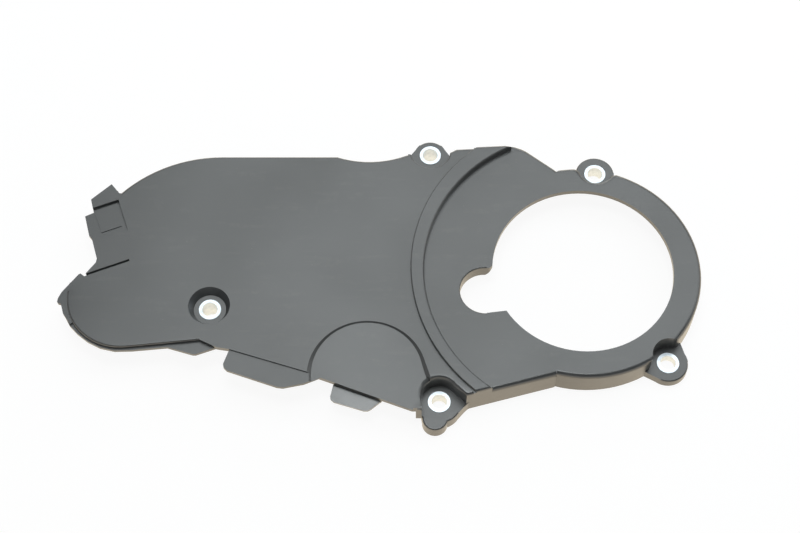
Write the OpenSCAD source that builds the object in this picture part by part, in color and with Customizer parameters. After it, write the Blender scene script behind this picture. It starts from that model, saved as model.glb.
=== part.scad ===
// Timing cover: one moulded shell with five pressed-in metal sleeves.
// The part lies as photographed: face up, mounting face on z = 0,
// crank opening on the z axis, long side along x. Sizes in millimetres.

/* [Main sizes] */
// crank axis to the left end of the cover
arm = 239; // [225:1:255]
// crank axis to the straight far edge
far_reach = 59.3; // [57:0.5:63]
// crank axis to the near edge by the middle lug
near_reach = 69.8; // [67:0.5:74]

/* [Heights] */
// top face of the main plate above the mounting face
plate_z = 16; // [14:0.5:20]
// rise of the arc band above the main plate
band_rise = 1.5; // [1:0.1:2]
// drop of the crank ring below the main plate
ring_drop = 2; // [1.5:0.1:3]
// wall thickness of the moulding
wall = 2.5; // [2.2:0.1:3]
// rounding of the top edges
edge_r = 1.3; // [0.8:0.1:1.8]
// rounding of the ring's outer top edge
ring_edge_r = 2; // [1.3:0.1:2.4]

/* [Crank ring] */
// radius of the crank opening
crank_r = 41.5; // [40:0.5:43]
// width of the ring face round the opening
ring_w = 12.7; // [11.7:0.5:14.2]
// radius of the side lobe of the opening
lobe_r = 11.5; // [10.5:0.5:12.5]
// depth of the rim that hangs below the lobe edge
lobe_rim = 7; // [4:0.5:9]

/* [Arc band] */
// radius of the step from band to ring
band_in_r = 72.8; // [71:0.2:74]
// radius of the step from main plate to band
band_out_r = 81; // [79.6:0.2:83]

/* [Bolt points] */
// outer diameter of a sleeve
sleeve_d = 10; // [9:0.5:11]
// bore of a sleeve
sleeve_bore = 7; // [6:0.2:7.6]
// play round a sleeve in its seat, on the radius
sleeve_play = 0.05; // [0.05:0.01:0.1]
// height of a sleeve face above the plastic round it
sleeve_proud = 0.2; // [0.1:0.1:0.5]
// clearance radius for a bolt head round a sleeve
pocket_r = 8; // [7.6:0.1:8.6]
// rounding of the corners where a ring pocket opens
mouth_r = 4; // [3:0.5:5]
// radius of the free end of a lug
lug_r = 9.1; // [8.6:0.1:9.6]
// radius of the free end of the upper lug
top_lug_r = 7.6; // [7.2:0.1:8]
// rounding of the lug edges
lug_edge = 0.7; // [0.3:0.1:0.9]
// radius of the round recess at the left bolt
recess_r = 9.5; // [9:0.1:10]
// depth of the round recess at the left bolt
recess_depth = 4.3; // [3:0.1:5.5]
// drop of the upper lug below the main plate
top_lug_drop = 4.5; // [3.5:0.1:6]
// height of the middle lug
mid_lug_z = 7; // [6:0.5:9]
// height of the upper ring lug
ring_lug_z = 7.5; // [6:0.5:9]
// height of the lower ring lug
low_lug_z = 4.7; // [4:0.1:7]

/* [Plate details] */
// depth of the round dish at its centre
dish_depth = 1.4; // [1.2:0.1:2]
// radius of the dish at the plate face
dish_r = 26.6; // [24:0.2:27]
// width of the dish's sloped wall
dish_wall = 1.8; // [1.4:0.1:2]
// slope of the dish floor, lower towards the near edge
dish_tilt = 2; // [0:0.5:2.5]
// drop of the first joint tab below the plate
tab_a_drop = 0.7; // [0.4:0.1:1.2]
// drop of the second joint tab below the dish
tab_b_drop = 4.2; // [3:0.1:5]
// fall of the second joint tab towards its free edge
tab_b_tilt = 10; // [4:1:12]
// drop of the joint flange below the plate
flange_drop = 2; // [1.4:0.1:2.6]
// thickness of the joint flange and tabs
tab_t = 1.6; // [1.3:0.1:2]
// width of the grooves beside the clip
groove_w = 1.1; // [0.8:0.1:1.6]
// depth of the grooves beside the clip
groove = 1.9; // [1.5:0.1:2.1]
// drop of the clip face below the plate
clip_drop = 1; // [0.6:0.1:1.4]

/* [Hidden] */
$fn = 96;
eps = 0.05;
band_z = plate_z + band_rise;
ring_z = plate_z - ring_drop;
ring_r = crank_r + ring_w;
dish_z = plate_z - dish_depth;
// points counted from the left end, the far edge and the near edge
function left(x, y) = [x - arm, y];
function far(x, d) = [x, far_reach + d];
function near(x, d) = [x, d - near_reach];
function polar(r, a) = r * [cos(a), sin(a)];
// point where the way from p through q leaves the circle of radius r about c
function leave(p, q, c, r) =
  let (u = (q - p) / norm(q - p), f = p - c, b = f * u) p + u * (sqrt(b * b - f * f + r * r) - b);
// centres of the two band arcs
arc_in_c = [0, -1.8];
arc_out_c = [2, -0.4];
// lobe of the crank opening
lobe_c = polar(crank_r + 4.8, 193.5);
// directions of the ring lugs and of the two ends of the ring edge
ring_top_a = 80.7;
ring_low_a = -49.3;
ring_far_a = 100.6;
ring_near_a = 254.9;
// bolt axes
left_bolt = left(69, -19.6);
top_bolt = far(-69.4, 3.2);
ring_top_bolt = polar(ring_r + 1, ring_top_a);
ring_low_bolt = polar(ring_r + 2.5, ring_low_a);
mid_bolt = near(-66.4, 6.8);
// plastic face round each sleeve
left_seat = plate_z - recess_depth;
top_seat = plate_z - top_lug_drop;
// front line of the ring side, from the ring cusp to the middle lug
front_a = polar(ring_r + 0.4, ring_near_a);
front_b = near(-54, 6.3);
front_slope = (front_b[1] - front_a[1]) / (front_b[0] - front_a[0]);
function front(x) = [x, front_a[1] + front_slope * (x - front_a[0])];
// far edges of the band and of the ring wing
band_far = [far(-27, 3.8), far(-31, 4.9), far(-34, 5.4), far(-41.8, 5), far(-57, 4.2)];
wing_far = [far(-34, 7), far(-28, 6.7), far(-25.7, 5.8), far(-23.5, 4.5),
            polar(ring_r - 0.2, ring_far_a)];
// ends of the band's steps at the front and at the far edge
step_in = leave(front_a, front_b, arc_in_c, band_in_r);
step_front = leave(front_a, front_b, arc_out_c, band_out_r);
step_far = leave(band_far[3], band_far[4], arc_out_c, band_out_r);
// far edge between the upper lug and the dip
lug_far = [far(-57, 4.2), far(-60.5, 2.2)];
dip_far = [far(-80, 1.1), far(-83, 0.7)];
// upper left arc of the plate, left lobe and dip of the far edge
shoulder_r = 64;
shoulder_c = left(71, far_reach - shoulder_r);
nose_c = left(30, -14.4);
nose_r = 25.7;
dip_r = 45;
dip_c = far(-98.3, dip_r - 2.6);
// lower edge that leaves the left lobe as a tangent
nose_q = left(65.6, -36.6);
nose_a = atan2(nose_q[1] - nose_c[1], nose_q[0] - nose_c[0]) - acos(nose_r / norm(nose_q - nose_c));
nose_t = nose_c + polar(nose_r, nose_a);
dish_c = mid_bolt + [-32.1, 10.2];
// floor height of the dish beside the middle lug
dish_low_z = plate_z - dish_depth + (mid_bolt[1] - dish_c[1]) * sin(dish_tilt);
// pocket of the upper lug
top_pocket_r = pocket_r + 1.4;
// clip frame
clip_c = left(31.2, 3.7);
clip_a = 21.5;
// amount by which neighbouring arcs cross instead of touching
cross = 0.1;
// corners of a ring pocket's mouth: distances from the crank axis and the bolt axis, and half angles
mouth_far = ring_r - mouth_r + cross;
mouth_near = pocket_r + mouth_r - cross;
function half_angle(a, b, c) = acos((a * a + b * b - c * c) / (2 * a * b));
function mouth_out(c) = half_angle(mouth_far, norm(c), mouth_near);
function mouth_in(c) = half_angle(mouth_near, norm(c), mouth_far);

// profile that rounds an outside edge: x is outward, y is up
module edge_profile(r) {
  polygon([[-1.5 * r, 0.134 * r], [-0.5 * r, -0.134 * r], [-0.134 * r, -0.5 * r],
           [0.134 * r, -1.5 * r], [1.5, -1.5 * r], [1.5, 1.5], [-1.5 * r, 1.5]]);
}

// rounding along a straight edge, the air on the right of p to q
module edge_line(p, q, z, r, over = 0) {
  a = atan2(q[1] - p[1], q[0] - p[0]);
  len = norm([q[0] - p[0], q[1] - p[1]]);
  translate([p[0], p[1], z])
    rotate([0, 0, a])
      translate([-over, 0, 0])
        mirror([0, 1, 0])
          rotate([90, 0, 90])
            linear_extrude(len + 2 * over)
              edge_profile(r);
}

// rounding along an outside arc
module edge_arc(c, rad, a0, a1, z, r) {
  translate([c[0], c[1], z])
    rotate([0, 0, a0])
      rotate_extrude(angle = a1 - a0)
        translate([rad, 0])
          edge_profile(r);
}

// rounding along the edge of a round hole or pocket
module edge_bowl(c, rad, a0, a1, z, r) {
  translate([c[0], c[1], z])
    rotate([0, 0, a0])
      rotate_extrude(angle = a1 - a0)
        translate([rad, 0])
          mirror([1, 0])
            edge_profile(r);
}

// ring face with the wing that reaches to the band
module ring_plan() {
  circle(r = ring_r);
  intersection() {
    translate(arc_in_c)
      circle(r = band_in_r + wall);
    polygon(concat([front_a, front_b, near(-62, 8), near(-90, 9.8), far(-90, 0.7), far(-57, 4.2)],
                   wing_far, [[0, 20], [0, -20]]));
  }
}

// main plate and band, left of the step to the ring
module plate_plan() {
  difference() {
    union() {
      polygon(concat([[-14, 0]], band_far, lug_far, dip_far,
                     [far(-113.6, 0), left(71, far_reach), left(23, far_reach), left(23, 40.2),
                      left(20, 44), left(11, 35.7), left(12.7, 29.1), left(8.8, 27.2), left(11.6, 16.8),
                      left(13.1, 15), left(16.3, 4.4), left(16, 2.4), left(12, -3), left(10.5, -8),
                      nose_c, nose_t, nose_q, left(73.4, -40.4), left(79, -41.3),
                      near(-125.2, 17.5), near(-78.6, 0), near(-62, 0), front_b, front_a]));
      intersection() {
        translate(nose_c)
          circle(r = nose_r);
        translate(left(-11, -50))
          square([60, 42]);
      }
    }
    translate(arc_in_c)
      circle(r = band_in_r);
    translate(dip_c)
      circle(r = dip_r);
    difference() {
      translate(left(23, 40.2))
        square([48, far_reach]);
      translate(shoulder_c)
        circle(r = shoulder_r);
    }
  }
}

module band_plan() {
  intersection() {
    plate_plan();
    translate(arc_out_c)
      circle(r = band_out_r);
  }
}

// whole outline, used for the skirt
module body_plan() {
  ring_plan();
  plate_plan();
}

// hanging wall along the far side, the ring and its front
module skirt_plan() {
  difference() {
    intersection() {
      body_plan();
      polygon([left(26, 42), left(26, far_reach + 20), [ring_r + 20, far_reach + 20],
               [ring_r + 20, -near_reach], near(-54, 0), near(-54, 20), [-40, 0], far(-54, -11.3),
               left(71, far_reach - 11.3), left(39, 42)]);
    }
    offset(delta = -wall)
      body_plan();
  }
}

// room for a bolt head at the middle lug, open to the front
module mid_pocket_plan(grow = 0) {
  r = pocket_r + grow;
  side = r - cross;
  k = side * cos(45);
  translate(mid_bolt) {
    circle(r = r);
    polygon([[k, k], [k + 9, k - 9], [k + 9, -20], [-side, -20], [-side, 0], [0, 0]]);
  }
}

module mid_lug_plan() {
  translate(mid_bolt) {
    intersection() {
      circle(r = lug_r + 0.9);
      translate([0, -20])
        square(40);
    }
    translate([-1.9, -7.7])
      circle(r = 5.7);
    polygon([[-8.6, 4], [-8.6, -2], [-7.6, -7.7], [0, -7.7], [5, -5], [8.5, -5.3], [11.2, -2.2],
             [12.8, -0.6], [16, 1.2], [12, 5], [4, 6]]);
  }
}

module top_lug_plan() {
  translate(top_bolt) {
    circle(r = top_lug_r);
    polygon([[-11, -2.2], [-4.9, 5.8], [5.2, 5.6], [9.4, -0.5], [8, -8], [-8, -8]]);
  }
}

module ring_top_lug_plan() {
  translate(ring_top_bolt) {
    circle(r = lug_r);
    translate([-lug_r + 0.2, -7])
      square([2 * lug_r - 0.4, 7]);
  }
}

module ring_low_lug_plan() {
  translate(ring_low_bolt) {
    circle(r = lug_r);
    polygon([[8.9, 1], [6.6, 9], [5, 13], [-12, 4], [-11, -4.2], [-4.3, -7.9]]);
  }
}

// cup wall and floor of a bolt head pocket, kept inside the outline
module turret(seat_z, top_z) {
  translate([0, 0, seat_z - wall])
    linear_extrude(top_z - seat_z + eps)
      intersection() {
        body_plan();
        children();
      }
}

module round_turret(c, r, seat_z, top_z) {
  turret(seat_z, top_z)
    translate(c)
      circle(r = r + wall);
}

// a lug with its rounded free end
module round_lug(c, r, z, a0, a1) {
  difference() {
    linear_extrude(z)
      children();
    edge_arc(c, r, a0, a1, z, lug_edge);
  }
}

// middle lug with its nose to the front
module mid_lug() {
  nose = mid_bolt + [-1.9, -7.7];
  difference() {
    round_lug(mid_bolt, lug_r + 0.9, mid_lug_z, 288, 328)
      mid_lug_plan();
    edge_arc(nose, 5.7, 178, 341, mid_lug_z, lug_edge);
    edge_line(mid_bolt + [-8.6, -2], mid_bolt + [-7.6, -7.7], mid_lug_z, lug_edge);
    edge_line(mid_bolt + [8.5, -5.3], mid_bolt + [11.2, -2.2], mid_lug_z, lug_edge);
    edge_line(mid_bolt + [11.2, -2.2], mid_bolt + [12.8, -0.6], mid_lug_z, lug_edge);
  }
}

// bore for a sleeve
module seat(c) {
  translate([c[0], c[1], -1])
    cylinder(h = plate_z + 4, r = sleeve_d / 2 + sleeve_play);
}

// air above a lug face
module pocket(c, r, z) {
  translate([c[0], c[1], z])
    cylinder(h = plate_z, r = r);
}

// centre of a rounded corner of a ring pocket's mouth
function mouth_c(c, a, side) = polar(mouth_far, a + side * mouth_out(c));

// air above a ring lug, with rounded corners where it opens through the ring wall
module ring_pocket(c, a, z) {
  pocket(c, pocket_r, z);
  translate([0, 0, z])
    linear_extrude(plate_z)
      for (side = [-1, 1])
        difference() {
          polygon([mouth_c(c, a, side), polar(ring_r + 2, a + side * mouth_out(c)), c]);
          translate(mouth_c(c, a, side))
            circle(r = mouth_r);
        }
}

// rounded top edge of a ring pocket
module ring_pocket_edge(c, a) {
  edge_bowl(c, pocket_r, a + 170 - mouth_in(c), a + 190 + mouth_in(c), ring_z, ring_edge_r);
  edge_arc(mouth_c(c, a, 1), mouth_r, a - mouth_in(c) - 5, a + mouth_out(c) + 5, ring_z, ring_edge_r);
  edge_arc(mouth_c(c, a, -1), mouth_r, a - mouth_out(c) - 5, a + mouth_in(c) + 5, ring_z, ring_edge_r);
}

// joint flange along the left lobe
module flange() {
  translate([0, 0, plate_z - flange_drop - tab_t])
    linear_extrude(tab_t)
      polygon([left(9, -20), left(1.6, -17.8), left(3.2, -22.8), left(6.6, -28.8), left(10.4, -32.8),
               left(15.2, -36.6), left(21, -39.6), left(27.6, -41.1), left(35.4, -40.9), left(51, -39.4),
               left(62.6, -42.9), left(64, -42.9), left(73.6, -39.4), left(66, -33), left(30, -36),
               left(13, -26)]);
  translate([0, 0, plate_z - 0.8 - tab_t])
    linear_extrude(tab_t)
      polygon([left(12.4, -5.2), left(9.4, -2.9), left(8.6, -3.2), left(1.6, -12.4), left(0.2, -15.6),
               left(0, -17.3), left(0.6, -18.1), left(1.8, -18.3), left(3.2, -23.2), left(6.8, -28.6),
               left(11, -25), left(15, -10)]);
  // neck that carries the flange below the plate
  translate([0, 0, plate_z - flange_drop - tab_t])
    linear_extrude(flange_drop + tab_t - 1)
      polygon([left(9, -20), left(8.6, -27), left(17.4, -35.2), left(29.6, -38.8), left(65.4, -35.8),
               left(71, -38), left(66, -33), left(30, -36), left(13, -26)]);
}

// joint tabs along the lower edge
module tabs() {
  difference() {
    translate([0, 0, plate_z - tab_a_drop - tab_t])
      linear_extrude(tab_t)
        polygon([left(81, -37), left(79, -41.3), left(76.6, -48.2), left(76.9, -49.9),
                 left(78.4, -51.4), near(-138.2, 10.5), near(-135.4, 10.2), near(-126.3, 12.1),
                 near(-119.3, 15), near(-122, 20.8)]);
    dish_cut();
  }
  translate([dish_c[0], dish_c[1], dish_z - tab_b_drop - tab_t]) {
    translate([-15.3, -4.5, 0])
      rotate([0, 0, -20])
        rotate([tab_b_tilt, 0, 0])
          linear_extrude(tab_t)
            polygon([[0.2, 4.7], [0, 0.6], [0.5, -4.1], [1.2, -5.4], [2.8, -6], [16.7, -5.4],
                     [18.4, -4.9], [19.5, -3.8], [23.2, 2], [23.6, 4.7]]);
    linear_extrude(tab_b_drop + tab_t - 1)
      polygon([[-13.4, -0.6], [-14.6, -4], [6.2, -11.6], [7.6, -8.9]]);
  }
}

// air of the dish: a sloped round with a straight right side
module dish_cut() {
  translate([dish_c[0], dish_c[1], plate_z])
    rotate([dish_tilt, 0, 0]) {
      translate([0, 0, -dish_depth])
        cylinder(h = dish_depth, r1 = dish_r - dish_wall, r2 = dish_r);
      translate([0, 0, -eps])
        cylinder(h = 5, r = dish_r);
      rotate([0, 0, 16])
        rotate([90, 0, 0])
          linear_extrude(22)
            polygon([[0, -dish_depth], [dish_r - dish_wall - cross, -dish_depth], [dish_r - cross, 0],
                     [dish_r - cross, 5], [0, 5]]);
    }
}

// floor below the dish
module dish_floor() {
  translate([0, 0, dish_z - wall])
    linear_extrude(wall)
      intersection() {
        plate_plan();
        translate(dish_c)
          circle(r = dish_r + wall);
      }
}

// rim below the side lobe of the opening
module lobe_rim_wall() {
  translate([0, 0, ring_z - lobe_rim])
    linear_extrude(lobe_rim - 0.5)
      difference() {
        translate(lobe_c)
          circle(r = lobe_r + wall);
        translate([5.5 - crank_r, -crank_r])
          square(2 * crank_r);
      }
}

// sight line clear of the cups below the opening
module crank_cone() {
  h = ring_z - wall;
  cylinder(h = h, r1 = crank_r + 0.66 * h, r2 = crank_r);
}

// crank opening with its lobe
module opening_plan() {
  circle(r = crank_r);
  translate(lobe_c)
    circle(r = lobe_r);
  polygon([lobe_c + [0, -lobe_r], lobe_c + [9.2, 1.1 - lobe_r], [-30, -20], [-30, 0],
           [0.5 - crank_r, 2.6], [-0.9 - crank_r, 0.9], lobe_c + [1.6, lobe_r - 0.3]]);
}

// grooves and sunk face of the clip
module clip_cuts() {
  translate([clip_c[0], clip_c[1], plate_z - groove])
    rotate([0, 0, clip_a]) {
      translate([-24, -groove_w / 2, 0])
        cube([24, groove_w, 4]);
      translate([-24, 31.4, 0])
        cube([28.8, groove_w, 4]);
      linear_extrude(4)
        polygon([[4.8, 32], [4.8 - 0.9 * groove_w, 32], [3.9, 15.5], [4.1, 15.5]]);
      translate([0, 0, groove - clip_drop])
        linear_extrude(4)
          polygon([[-16, 18], [-16, 32], [4.4, 32], [4, 15.5], [-6, 15]]);
    }
}

// raised square on the clip
module clip_pad() {
  translate([clip_c[0], clip_c[1], plate_z - clip_drop - 0.5])
    rotate([0, 0, clip_a])
      translate([-7.6, 18.8, 0])
        cube([9.6, 11.6, 0.9]);
}

// rounding along a row of points that bends outward
module edge_row(points, z, r) {
  for (i = [0 : len(points) - 2])
    edge_line(points[i], points[i + 1], z, r, r);
}

// rounded top edges of the moulding
module edge_cuts() {
  side = pocket_r - cross;
  k = side * cos(45);
  // ring
  edge_arc([0, 0], ring_r, ring_low_a, ring_top_a, ring_z, ring_edge_r);
  edge_arc([0, 0], ring_r, ring_top_a, ring_far_a + 0.8, ring_z, ring_edge_r);
  edge_arc([0, 0], ring_r, ring_near_a - 0.3, ring_low_a + 360, ring_z, ring_edge_r);
  ring_pocket_edge(ring_top_bolt, ring_top_a);
  ring_pocket_edge(ring_low_bolt, ring_low_a);
  edge_line(wing_far[4] + 0.04 * (wing_far[4] - wing_far[3]), wing_far[3], ring_z, ring_edge_r);
  edge_row([wing_far[3], wing_far[2], wing_far[1]], ring_z, ring_edge_r);
  edge_line(wing_far[1], wing_far[0], ring_z, 0.7 * edge_r);
  edge_line(front(step_in[0] - cross), front_a, ring_z, ring_edge_r);
  edge_bowl(lobe_c, lobe_r, 85, 272, ring_z, 0.5 * edge_r);
  // band and main plate
  edge_line(front(-56), front(step_front[0] - edge_r), plate_z, edge_r);
  edge_line(front(step_front[0] - 2 * edge_r), front(-36), band_z, edge_r);
  edge_row(band_far, band_z, edge_r);
  edge_line(step_far + edge_r * (band_far[4] - band_far[3]) / 12, band_far[4], plate_z, edge_r);
  edge_line(lug_far[0], lug_far[1], plate_z, edge_r);
  edge_bowl(arc_in_c, band_in_r, 100, 240, band_z, edge_r);
  edge_arc(arc_out_c, band_out_r, 122, 233, band_z, 0.35 * band_rise);
  edge_bowl(mid_bolt, pocket_r, 22, 203, plate_z, edge_r);
  edge_bowl(mid_bolt, pocket_r, 120, 203, dish_low_z, edge_r);
  edge_line(mid_bolt + [-side, -10], mid_bolt + [-side, 2], dish_low_z, edge_r);
  edge_line(mid_bolt + [k, k], mid_bolt + [k + 9, k - 9], plate_z, edge_r);
  edge_bowl(top_bolt, top_pocket_r, 180, 350, plate_z, 0.6 * edge_r);
  edge_line(dip_far[0], dip_far[1], plate_z, edge_r);
  edge_line(far(-113.6, 0), left(71, far_reach), plate_z, edge_r);
  edge_arc(shoulder_c, shoulder_r, 90, 137, plate_z, edge_r);
  edge_bowl(dip_c, dip_r, 247, 293, plate_z, edge_r);
  edge_arc(nose_c, nose_r, 175, nose_a + 360, plate_z, 0.6 * edge_r);
  edge_line(nose_t, nose_q, plate_z, 0.6 * edge_r);
}

// plates, skirt and cups before the edges are rounded
module shell() {
  difference() {
    union() {
      translate([0, 0, ring_z - wall])
        linear_extrude(wall)
          ring_plan();
      translate([0, 0, plate_z - wall])
        linear_extrude(wall)
          plate_plan();
      translate([0, 0, plate_z - wall])
        linear_extrude(wall + band_rise)
          band_plan();
      // step wall between ring and band
      translate([0, 0, ring_z - wall])
        linear_extrude(ring_drop + band_rise)
          intersection() {
            plate_plan();
            translate(arc_in_c)
              circle(r = band_in_r + wall);
          }
      linear_extrude(ring_z - wall + eps)
        skirt_plan();
      translate([0, 0, ring_z - wall])
        linear_extrude(ring_drop + eps)
          intersection() {
            skirt_plan();
            plate_plan();
          }
      turret(mid_lug_z, plate_z)
        mid_pocket_plan(wall);
      round_turret(top_bolt, top_pocket_r, top_seat, plate_z);
      round_turret(ring_top_bolt, pocket_r, ring_lug_z, ring_z);
      round_turret(ring_low_bolt, pocket_r, low_lug_z, ring_z);
      dish_floor();
      lobe_rim_wall();
      // boss and recess cup at the left bolt
      translate([left_bolt[0], left_bolt[1], 0])
        cylinder(h = left_seat, r = sleeve_d / 2 + wall);
      translate([left_bolt[0], left_bolt[1], left_seat - wall])
        cylinder(h = recess_depth + wall - 0.5, r = recess_r + 1.1);
    }
    // dish and recess with sloped walls
    dish_cut();
    translate([left_bolt[0], left_bolt[1], left_seat])
      cylinder(h = recess_depth + eps, r1 = recess_r - 2.2, r2 = recess_r);
    // bolt head pockets
    translate([0, 0, mid_lug_z])
      linear_extrude(plate_z)
        mid_pocket_plan();
    pocket(top_bolt, top_pocket_r, top_seat);
    ring_pocket(ring_top_bolt, ring_top_a, ring_lug_z);
    ring_pocket(ring_low_bolt, ring_low_a, low_lug_z);
    clip_cuts();
  }
}

module cover() {
  color([0.2, 0.2, 0.21])
    difference() {
      union() {
        difference() {
          shell();
          edge_cuts();
        }
        mid_lug();
        round_lug(top_bolt, top_lug_r, top_seat, 48, 130)
          top_lug_plan();
        round_lug(ring_top_bolt, lug_r, ring_lug_z, 5, 175)
          ring_top_lug_plan();
        round_lug(ring_low_bolt, lug_r, low_lug_z, 245, 365)
          ring_low_lug_plan();
        flange();
        tabs();
        clip_pad();
      }
      translate([0, 0, -1])
        linear_extrude(plate_z + 4)
          opening_plan();
      crank_cone();
      seat(left_bolt);
      seat(top_bolt);
      seat(ring_top_bolt);
      seat(ring_low_bolt);
      seat(mid_bolt);
    }
}

// pressed-in sleeve from the mounting face to just above its seat
module sleeve(c, z) {
  color([0.85, 0.85, 0.86])
    translate([c[0], c[1], 0])
      difference() {
        cylinder(h = z + sleeve_proud, r = sleeve_d / 2);
        translate([0, 0, -1])
          cylinder(h = z + sleeve_proud + 2, r = sleeve_bore / 2);
      }
}

module sleeve_left() sleeve(left_bolt, left_seat);
module sleeve_top() sleeve(top_bolt, top_seat);
module sleeve_ring_top() sleeve(ring_top_bolt, ring_lug_z);
module sleeve_ring_low() sleeve(ring_low_bolt, low_lug_z);
module sleeve_mid() sleeve(mid_bolt, mid_lug_z);

cover();
sleeve_left();
sleeve_top();
sleeve_ring_top();
sleeve_ring_low();
sleeve_mid();
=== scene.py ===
import math

import bpy
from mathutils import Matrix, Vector


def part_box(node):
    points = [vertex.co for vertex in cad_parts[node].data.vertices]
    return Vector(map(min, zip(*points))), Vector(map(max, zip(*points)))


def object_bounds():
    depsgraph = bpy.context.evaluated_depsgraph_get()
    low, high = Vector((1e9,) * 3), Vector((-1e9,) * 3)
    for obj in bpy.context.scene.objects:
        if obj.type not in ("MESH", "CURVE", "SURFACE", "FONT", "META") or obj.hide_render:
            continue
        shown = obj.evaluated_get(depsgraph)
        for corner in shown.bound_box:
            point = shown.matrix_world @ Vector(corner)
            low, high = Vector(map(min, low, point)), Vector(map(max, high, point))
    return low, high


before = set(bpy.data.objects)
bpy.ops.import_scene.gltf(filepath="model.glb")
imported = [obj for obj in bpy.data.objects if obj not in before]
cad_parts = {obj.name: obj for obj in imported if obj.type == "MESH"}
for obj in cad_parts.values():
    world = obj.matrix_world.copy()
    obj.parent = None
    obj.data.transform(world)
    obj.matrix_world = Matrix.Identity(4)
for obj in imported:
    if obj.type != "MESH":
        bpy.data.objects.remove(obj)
cad_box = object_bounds()

MM = 0.001

# Camera of the photograph, on the row frame in metres
CAMERA_AT = (-0.08382, -0.36315, 0.70237)
CAMERA_AIM = (-0.08382, 0.00877, 0.0)
CAMERA_LENS = 76.5
SENSOR = 36.0

# Edges sharper than this stay sharp in the shading
SMOOTH_ANGLE = math.radians(32)
WELD = 0.002 * MM

# Relief of the finishes, and the run of the smudges on the plastic
GRAIN_DEPTH = 0.012 * MM
TURNING_DEPTH = 0.01 * MM
SMUDGE_TURN = math.radians(35)
SMUDGE_SCALE = (0.05, 0.35, 1.0)

# Floor, in metres
FLOOR_HALF = 3.0
FLOOR_GAP = 0.02 * MM

# Studio walls seen from the object: pale up to WALL_FADE, dark from WALL_TOP
WALL_FADE = math.radians(8)
WALL_TOP = math.radians(28)
WALL_LIGHT = 0.8
SKY_LIGHT = 0.10

# Linear colours
PLASTIC_DARK = (0.044, 0.047, 0.047, 1)
PLASTIC_PALE = (0.055, 0.059, 0.060, 1)
DUST = (0.22, 0.215, 0.20, 1)
STEEL = (0.87, 0.94, 1.0, 1)
STEEL_DULL = (0.76, 0.82, 0.88, 1)
FLOOR = (0.86, 0.82, 0.75, 1)
FLOOR_SEEN = (0.92, 0.92, 0.92, 1)
FLOOR_MIRRORED = (1.0, 0.87, 0.68, 1)
FLOOR_SHADED = (0.12, 0.12, 0.12, 1)
WHITE = (1, 1, 1, 1)
DAYLIGHT = (0.95, 1.0, 1.01)


class Nodes:
    """A material's node tree with short calls to add and join nodes."""

    def __init__(self, name):
        self.material = bpy.data.materials.new(name)
        self.material.use_nodes = True
        self.tree = self.material.node_tree
        self.tree.nodes.clear()
        self.output = self.add("ShaderNodeOutputMaterial")

    def add(self, kind, **settings):
        node = self.tree.nodes.new(kind)
        for key, value in settings.items():
            setattr(node, key, value)
        return node

    def join(self, source, target):
        self.tree.links.new(source, target)

    def place(self, at=(0, 0, 0)):
        """Coordinates in millimetres of the row frame, counted from a point."""
        where = self.add("ShaderNodeTexCoord")
        mapping = self.add("ShaderNodeMapping")
        mapping.inputs["Scale"].default_value = (1 / MM, 1 / MM, 1 / MM)
        mapping.inputs["Location"].default_value = tuple(-c / MM for c in at)
        self.join(where.outputs["Object"], mapping.inputs["Vector"])
        return mapping.outputs["Vector"]

    def noise(self, vector, scale, detail=3.0, roughness=0.5):
        node = self.add("ShaderNodeTexNoise")
        node.inputs["Scale"].default_value = scale
        node.inputs["Detail"].default_value = detail
        node.inputs["Roughness"].default_value = roughness
        self.join(vector, node.inputs["Vector"])
        return node.outputs["Fac"]

    def ramp(self, value, low, high, start, end):
        """value from start to end mapped to low to high, held at both ends."""
        node = self.add("ShaderNodeMapRange")
        node.inputs["From Min"].default_value = start
        node.inputs["From Max"].default_value = end
        node.inputs["To Min"].default_value = low
        node.inputs["To Max"].default_value = high
        self.join(value, node.inputs["Value"])
        return node.outputs["Result"]

    def combine(self, operation, a, b):
        node = self.add("ShaderNodeMath", operation=operation)
        self.join(a, node.inputs[0])
        self.join(b, node.inputs[1])
        return node.outputs["Value"]

    def mix(self, factor, a, b):
        """Colour between a and b, each a colour or a socket."""
        node = self.add("ShaderNodeMix", data_type="RGBA")
        self.join(factor, node.inputs["Factor"])
        for socket, value in ((node.inputs[6], a), (node.inputs[7], b)):
            if isinstance(value, tuple):
                socket.default_value = value
            else:
                self.join(value, socket)
        return node.outputs[2]

    def bump(self, height, distance, strength):
        node = self.add("ShaderNodeBump")
        node.inputs["Distance"].default_value = distance
        node.inputs["Strength"].default_value = strength
        self.join(height, node.inputs["Height"])
        return node.outputs["Normal"]


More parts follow.
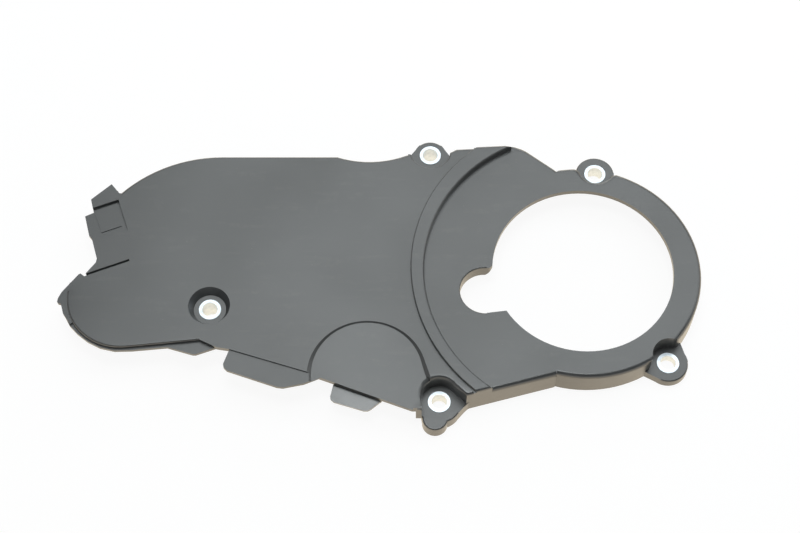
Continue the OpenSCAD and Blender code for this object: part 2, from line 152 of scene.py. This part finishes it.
def moulded_plastic():
    """Dark satin plastic with a fine mould grain, cloudy gloss, dust and faint smudges."""
    n = Nodes("moulded_plastic")
    place = n.place()
    clouds = n.noise(place, 0.02, 4.0)
    patches = n.noise(place, 0.16, 5.0, 0.6)
    grain = n.noise(place, 3.2, 2.0, 0.6)
    specks = n.noise(place, 1.3, 2.0, 0.5)
    drawn = n.add("ShaderNodeMapping")
    drawn.inputs["Rotation"].default_value = (0, 0, SMUDGE_TURN)
    drawn.inputs["Scale"].default_value = SMUDGE_SCALE
    n.join(place, drawn.inputs["Vector"])
    streaks = n.noise(drawn.outputs["Vector"], 0.7, 3.0, 0.55)

    colour = n.mix(n.ramp(clouds, 0.0, 1.0, 0.3, 0.7), PLASTIC_DARK, PLASTIC_PALE)
    dust = n.ramp(specks, 0.0, 0.5, 0.74, 0.82)
    wiped = n.ramp(patches, 0.0, 1.0, 0.45, 0.65)
    smudges = n.combine("MULTIPLY", n.ramp(streaks, 0.0, 0.12, 0.50, 0.75), wiped)
    colour = n.mix(n.combine("MAXIMUM", dust, smudges), colour, DUST)

    shader = n.add("ShaderNodeBsdfPrincipled")
    shader.inputs["Specular IOR Level"].default_value = 0.9
    shader.inputs["Coat Roughness"].default_value = 0.26
    shader.inputs["Coat IOR"].default_value = 1.6
    n.join(colour, shader.inputs["Base Color"])
    n.join(n.ramp(patches, 0.34, 0.42, 0.3, 0.7), shader.inputs["Roughness"])
    n.join(n.ramp(clouds, 0.75, 1.0, 0.35, 0.65), shader.inputs["Coat Weight"])
    n.join(n.bump(grain, GRAIN_DEPTH, 0.5), shader.inputs["Normal"])
    n.join(shader.outputs["BSDF"], n.output.inputs["Surface"])
    return n.material


def turned_steel(name, axis):
    """Bright sleeve metal with turning marks round its axis."""
    n = Nodes(name)
    place = n.place(axis)
    rings = n.add("ShaderNodeTexWave", wave_type="RINGS", rings_direction="Z")
    rings.inputs["Scale"].default_value = 1.6
    rings.inputs["Distortion"].default_value = 0.6
    rings.inputs["Detail"].default_value = 2.0
    n.join(place, rings.inputs["Vector"])
    stains = n.noise(place, 0.5)
    colour = n.mix(n.ramp(stains, 0.0, 1.0, 0.4, 0.8), STEEL, STEEL_DULL)

    shader = n.add("ShaderNodeBsdfPrincipled")
    shader.inputs["Metallic"].default_value = 1.0
    n.join(colour, shader.inputs["Base Color"])
    n.join(n.ramp(stains, 0.26, 0.40, 0.3, 0.7), shader.inputs["Roughness"])
    n.join(n.bump(rings.outputs["Fac"], TURNING_DEPTH, 0.5), shader.inputs["Normal"])
    n.join(shader.outputs["BSDF"], n.output.inputs["Surface"])
    return n.material


def white_floor():
    """Pale floor that the camera sees as white and reflections as warm white, with the object's shadow."""
    n = Nodes("white_floor")
    rays = n.add("ShaderNodeLightPath")
    seen = n.combine("MAXIMUM", rays.outputs["Is Camera Ray"], rays.outputs["Is Glossy Ray"])
    seen = n.combine("MAXIMUM", seen, rays.outputs["Is Transmission Ray"])
    paper = n.add("ShaderNodeBsdfDiffuse")
    paper.inputs["Color"].default_value = FLOOR
    shaded = n.add("ShaderNodeBsdfDiffuse")
    shaded.inputs["Color"].default_value = FLOOR_SHADED
    glow = n.add("ShaderNodeEmission")
    n.join(n.mix(rays.outputs["Is Glossy Ray"], FLOOR_SEEN, FLOOR_MIRRORED), glow.inputs["Color"])
    lit = n.add("ShaderNodeAddShader")
    n.join(shaded.outputs["BSDF"], lit.inputs[0])
    n.join(glow.outputs["Emission"], lit.inputs[1])
    choose = n.add("ShaderNodeMixShader")
    n.join(seen, choose.inputs["Fac"])
    n.join(paper.outputs["BSDF"], choose.inputs[1])
    n.join(lit.outputs["Shader"], choose.inputs[2])
    n.join(choose.outputs["Shader"], n.output.inputs["Surface"])
    return n.material


def smooth_by_angle():
    """Modifier nodes that shade smooth, except across edges sharper than SMOOTH_ANGLE."""
    group = bpy.data.node_groups.new("smooth_by_angle", "GeometryNodeTree")
    for way in ("INPUT", "OUTPUT"):
        group.interface.new_socket("Geometry", in_out=way, socket_type="NodeSocketGeometry")
    add, join = group.nodes.new, group.links.new
    start, end = add("NodeGroupInput"), add("NodeGroupOutput")
    angle = add("GeometryNodeInputMeshEdgeAngle")
    blunt = add("FunctionNodeCompare")
    blunt.operation = "LESS_THAN"
    blunt.inputs["B"].default_value = SMOOTH_ANGLE
    faces, edges = add("GeometryNodeSetShadeSmooth"), add("GeometryNodeSetShadeSmooth")
    faces.domain, edges.domain = "FACE", "EDGE"
    join(angle.outputs["Unsigned Angle"], blunt.inputs["A"])
    join(start.outputs[0], faces.inputs["Geometry"])
    join(faces.outputs["Geometry"], edges.inputs["Geometry"])
    join(blunt.outputs["Result"], edges.inputs["Shade Smooth"])
    join(edges.outputs["Geometry"], end.inputs[0])
    return group


def dress(obj, material, smoothing):
    """Give a CAD node its finish, with smooth shading across its roundings."""
    obj.data.materials.clear()
    obj.data.materials.append(material)
    weld = obj.modifiers.new("weld", "WELD")
    weld.merge_threshold = WELD
    obj.modifiers.new("smooth", "NODES").node_group = smoothing
    flat = obj.modifiers.new("flat_faces", "WEIGHTED_NORMAL")
    flat.mode = "FACE_AREA"
    flat.weight = 100
    flat.keep_sharp = True


def dress_nodes():
    smoothing = smooth_by_angle()
    for name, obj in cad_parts.items():
        if name == "cover":
            dress(obj, moulded_plastic(), smoothing)
            continue
        low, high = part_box(name)
        dress(obj, turned_steel(name + "_steel", (low + high) / 2), smoothing)


def make_floor():
    corners = [(-FLOOR_HALF, -FLOOR_HALF, 0), (FLOOR_HALF, -FLOOR_HALF, 0),
               (FLOOR_HALF, FLOOR_HALF, 0), (-FLOOR_HALF, FLOOR_HALF, 0)]
    mesh = bpy.data.meshes.new("floor")
    mesh.from_pydata(corners, [], [(0, 1, 2, 3)])
    mesh.materials.append(white_floor())
    floor = bpy.data.objects.new("floor", mesh)
    floor.location.z = cad_box[0].z - FLOOR_GAP
    bpy.context.collection.objects.link(floor)


def soft_panel(name, x, elevation, distance, size, power):
    """Soft light on the far side at an elevation in degrees, turned to the line y = 0, z = 0."""
    data = bpy.data.lights.new(name, "AREA")
    data.shape = "RECTANGLE"
    data.size, data.size_y = size
    data.energy = power
    data.color = DAYLIGHT
    lamp = bpy.data.objects.new(name, data)
    angle = math.radians(elevation)
    lamp.location = (x, distance * math.cos(angle), distance * math.sin(angle))
    lamp.rotation_euler = (angle - math.pi / 2, 0, 0)
    bpy.context.collection.objects.link(lamp)


def make_light():
    soft_panel("panel_far", x=0.72, elevation=61, distance=1.2, size=(2.4, 0.75), power=7.9)
    soft_panel("panel_above", x=-0.14, elevation=88, distance=1.15, size=(0.5, 0.30), power=3.0)
    soft_panel("panel_low", x=0.0, elevation=22, distance=1.5, size=(1.1, 0.30), power=2.5)


def make_world():
    """Studio with pale walls, dark above WALL_TOP, and a white background for the camera."""
    world = bpy.data.worlds.new("studio")
    world.use_nodes = True
    tree = world.node_tree
    add, join = tree.nodes.new, tree.links.new
    sky = tree.nodes["Background"]
    sky.inputs["Color"].default_value = WHITE
    where, split = add("ShaderNodeTexCoord"), add("ShaderNodeSeparateXYZ")
    fade = add("ShaderNodeMapRange")
    fade.inputs["From Min"].default_value = math.sin(WALL_FADE)
    fade.inputs["From Max"].default_value = math.sin(WALL_TOP)
    fade.inputs["To Min"].default_value = WALL_LIGHT
    fade.inputs["To Max"].default_value = SKY_LIGHT
    rays, seen = add("ShaderNodeLightPath"), add("ShaderNodeMath")
    seen.operation = "MAXIMUM"
    join(where.outputs["Generated"], split.inputs["Vector"])
    join(split.outputs["Z"], fade.inputs["Value"])
    join(fade.outputs["Result"], seen.inputs[0])
    join(rays.outputs["Is Camera Ray"], seen.inputs[1])
    join(seen.outputs["Value"], sky.inputs["Strength"])
    bpy.context.scene.world = world


def make_camera():
    data = bpy.data.cameras.new("camera")
    data.sensor_width = SENSOR
    data.lens = CAMERA_LENS
    camera = bpy.data.objects.new("camera", data)
    camera.location = CAMERA_AT
    aim = Vector(CAMERA_AIM) - Vector(CAMERA_AT)
    camera.rotation_euler = aim.to_track_quat("-Z", "Y").to_euler()
    bpy.context.collection.objects.link(camera)
    bpy.context.scene.camera = camera


make_camera()
make_light()
make_world()
make_floor()
dress_nodes()
bpy.context.scene.view_settings.view_transform = "Standard"
